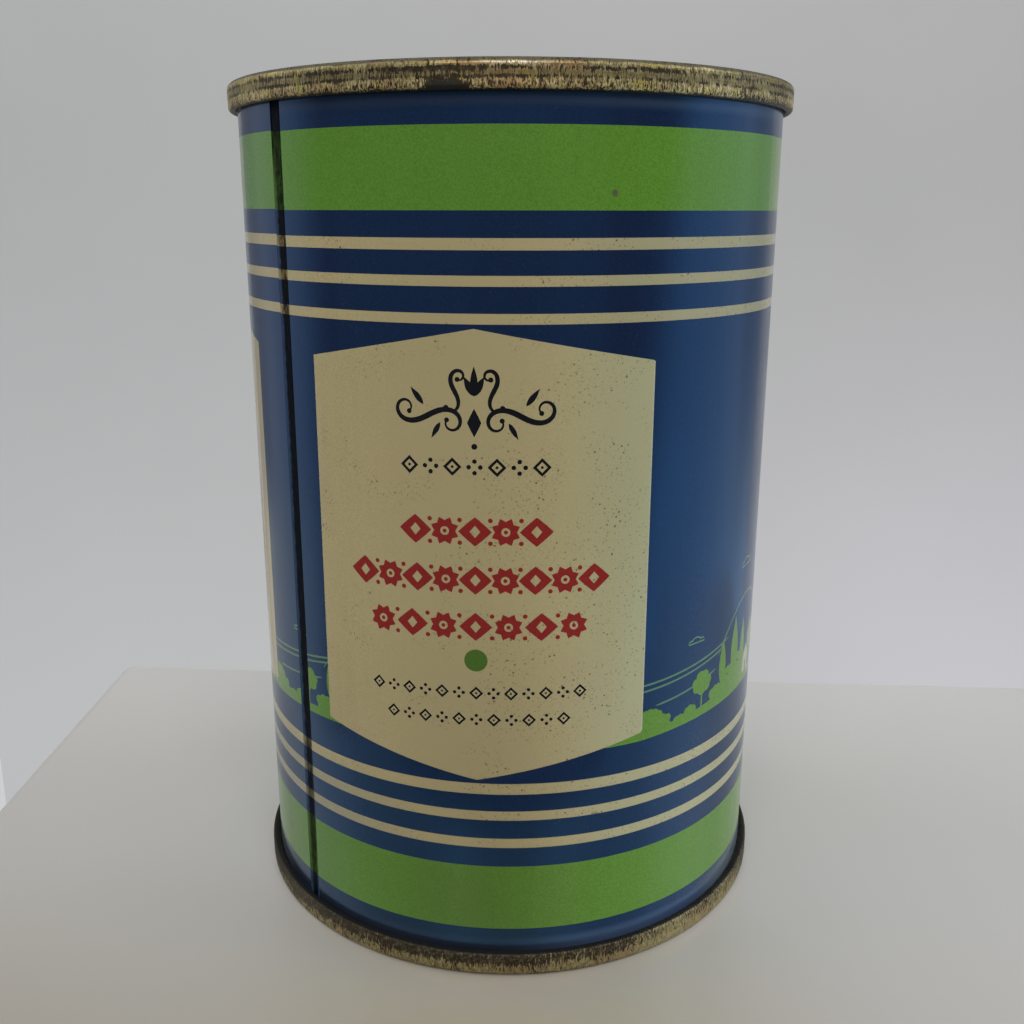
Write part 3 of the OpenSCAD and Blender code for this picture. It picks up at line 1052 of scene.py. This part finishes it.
def plinth():
    """A pale plinth with softened edges, with painted shadow that makes it browner before the can and painted
    light that makes it lighter to the right.
    """
    low = [(x, y, FLOOR_Z) for x, y in PLINTH]
    top = [(x, y, 0.0) for x, y in PLINTH]
    sides = [(i, (i + 1) % 4, 4 + (i + 1) % 4, 4 + i) for i in range(4)]
    obj = stage_object("studio_plinth", low + top, [(4, 5, 6, 7)] + sides)
    edge = obj.modifiers.new("soft_edges", "BEVEL")
    edge.width = 0.0015
    edge.segments = 3
    s, tone, more = paint("studio_plinth", (0.55, 0.545, 0.525), (0.59, 0.585, 0.57), 0.7, 0.32)
    x, front = s.axis("X"), s.ramp(s.axis("Y"), -0.01, -0.06)
    # Painted shadow before the can, darker to the left
    before = s.mix(s.ramp(x, -0.05, 0.06), (0.42, 0.39, 0.335), (0.50, 0.465, 0.42))
    tone = s.over(tone, before, front)
    # A deeper painted shadow just before the can
    tone = s.over(tone, (0.43, 0.372, 0.265), front, s.near(x, 0.006, 0.045))
    # Painted light: the plinth lighter to the right and darker to the left
    across = s.mix(s.ramp(x, -0.06, 0.08), (0.955, 0.955, 0.96), (1.035, 1.04, 1.06))
    obj.data.materials.append(s.finish(Base_Color=s.tinted(tone, across, 1.0), **more))
    return obj


def backdrop():
    """A pale backdrop behind the can, with a painted glow that makes it lighter below."""
    obj = turned("studio_backdrop", [(ROOM_R, FLOOR_Z), (ROOM_R, WALL_TOP)], 141, 220, 40)
    s, tone, more = paint("studio_backdrop", (0.44, 0.44, 0.44), (0.46, 0.46, 0.46))
    low_glow = s.mix(s.ramp(s.axis("X"), 0.0, 0.25), (0.285, 0.285, 0.285), (0.365, 0.357, 0.394))
    glow = s.over(low_glow, (0.125, 0.125, 0.125), s.ramp(s.axis("Z"), -0.3, 0.16))
    obj.data.materials.append(s.finish(Base_Color=tone, Emission_Color=glow, Emission_Strength=1.0, **more))
    return obj


def surround():
    """The rest of the room, which only the camera sees, so that the can mirrors a dark room."""
    floor = turned("studio_floor", [(0.001, FLOOR_Z), (ROOM_R, FLOOR_Z)], 0, 360, 120)
    # The cove starts a little over the floor, so that the two don't lie in each other
    start = FLOOR_Z + 0.0005
    cove = [(ROOM_R - COVE_R * (1 - math.sin(t)), start + COVE_R * (1 - math.cos(t)))
            for t in np.linspace(0, math.pi / 2, 16)]
    wall = turned("studio_surround", cove + [(ROOM_R, 0.0), (ROOM_R, WALL_TOP)], 220, 501, 120)
    for obj in (floor, wall):
        material = glowing(obj.name, (0.60, 0.60, 0.60), (0.64, 0.64, 0.64), (0.30, 0.30, 0.305))
        obj.data.materials.append(material)
        obj.visible_diffuse = False
        obj.visible_glossy = False
        obj.visible_transmission = False
        obj.visible_shadow = False
    return floor, wall


def camera_flag(camera):
    """A dark card behind the camera, as large as a hand-held one, which shades the front as that did."""
    corners = ((-0.038, -0.095), (0.038, -0.095), (0.038, 0.012), (-0.038, 0.012))
    points = [camera.matrix_world @ Vector((x, y, depth)) for depth in (0.004, 0.012) for x, y in corners]
    sides = [(i, (i + 1) % 4, 4 + (i + 1) % 4, 4 + i) for i in range(4)]
    obj = stage_object("studio_camera_flag", points, [(3, 2, 1, 0), (4, 5, 6, 7)] + sides)
    material = glowing("studio_camera_flag", CARD_DARK, CARD_LIGHT, (0.07, 0.068, 0.064))
    obj.data.materials.append(material)
    obj.visible_camera = False
    return obj


def side_card(name, first, last, edge, step, high, low):
    """A glowing card at one side for the wall to mirror: soft to the front, and dim high up far back.

    Its glow grows between two depths of edge, which lean with the third, and goes from the high to
    the low colour between two heights of step."""
    obj = turned(name, [(CARD_R, z) for z in np.linspace(-0.62, 0.4, 8)], first, last, 50)
    s, tone, more = paint(name, CARD_DARK, CARD_LIGHT)
    dim, full, lean = edge
    lower = s.ramp(s.axis("Z"), *step)
    front = s.ramp(s.total(s.axis("Y"), (s.axis("Z"), -lean)), dim, full)
    back = s.product(s.ramp(s.axis("Y"), 0.40, 0.55), s.math("SUBTRACT", 1.0, lower))
    strength = s.product(front, s.total((back, -0.5), 1.0))
    obj.data.materials.append(s.finish(Base_Color=tone, Emission_Color=s.mix(lower, high, low),
                                       Emission_Strength=strength, **more))
    obj.visible_camera = False
    return obj


def softbox(name, place, aim, size, radiance):
    """A rectangular lamp that looks as bright as radiance says, however large it is."""
    data = bpy.data.lights.new(name, "AREA")
    data.shape = "RECTANGLE"
    data.size, data.size_y = size
    data.energy = 4 * size[0] * size[1]
    data.color = radiance
    lamp = bpy.data.objects.new(name, data)
    lamp.location = place
    lamp.rotation_euler = (Vector(aim) - Vector(place)).to_track_quat("-Z", "Y").to_euler()
    lamp.visible_camera = False
    bpy.context.scene.collection.objects.link(lamp)


def light():
    middle = (0, 0, 0.05)
    softbox("high_front", toward(8, 40, 1.1), middle, (1.0, 0.5), (3.05, 2.92, 2.74))
    softbox("high_left", toward(-92, 38, 1.1), middle, (0.8, 0.5), (1.85, 1.87, 1.87))
    softbox("high_right", toward(92, 35, 1.1), middle, (0.6, 0.4), (3.0, 3.07, 3.15))
    softbox("overhead", (0, 0.12, 1.1), middle, (0.9, 0.6), (0.4, 0.4, 0.4))
    softbox("ceiling_lamp", toward(8, 62, 1.2), middle, (0.08, 0.05), (70, 68, 62))
    softbox("backdrop_wash", (0, 0.1, 1.0), (0, ROOM_R, 0.05), (1.0, 0.4), (0.85, 0.85, 0.87))
    world = bpy.data.worlds.new("room")
    bpy.context.scene.world = world
    world.use_nodes = True
    background = world.node_tree.nodes["Background"]
    background.inputs["Color"].default_value = (0.12, 0.124, 0.13, 1)
    background.inputs["Strength"].default_value = 1.0


def camera():
    """The photograph's camera, at its place round the can's axis, with its small yaw and roll."""
    around, turn, tip, roll = (math.radians(a) for a in (CAMERA_AROUND, CAMERA_TURN, CAMERA_TIP, CAMERA_ROLL))
    data = bpy.data.cameras.new("photo_camera")
    data.sensor_width = SENSOR
    data.lens = SENSOR * LENS_PIXELS / FRAME_PIXELS
    data.clip_start = 0.01
    obj = bpy.data.objects.new("photo_camera", data)
    side = Vector((math.cos(turn), math.sin(turn), 0))
    ahead = Vector((-math.sin(turn) * math.cos(tip), math.cos(turn) * math.cos(tip), -math.sin(tip)))
    up = side.cross(ahead)
    right = side * math.cos(roll) - up * math.sin(roll)
    up = side * math.sin(roll) + up * math.cos(roll)
    place = Vector((CAMERA_OUT * math.sin(around), -CAMERA_OUT * math.cos(around), CAMERA_UP))
    facing = Matrix((right, up, -ahead)).transposed().to_4x4()
    obj.matrix_world = Matrix.Translation(place * MM) @ facing
    bpy.context.scene.collection.objects.link(obj)
    bpy.context.scene.camera = obj
    bpy.context.scene.view_settings.view_transform = "Standard"
    return obj


flag = camera_flag(camera())
right_card = side_card("studio_right_card", 45, 141, (-0.41, -0.12, 0.6), (0.02, -0.34),
                       (0.395, 0.485, 0.59), (0.55, 0.72, 0.86))
left_card = side_card("studio_left_card", 221, 292, (-0.33, 0.06, 0.0), (-0.12, -0.24),
                      (0.36, 0.38, 0.43), (0.50, 0.50, 0.47))
plinth()
backdrop()
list(surround())
light()
dress_nodes()
dress_print()
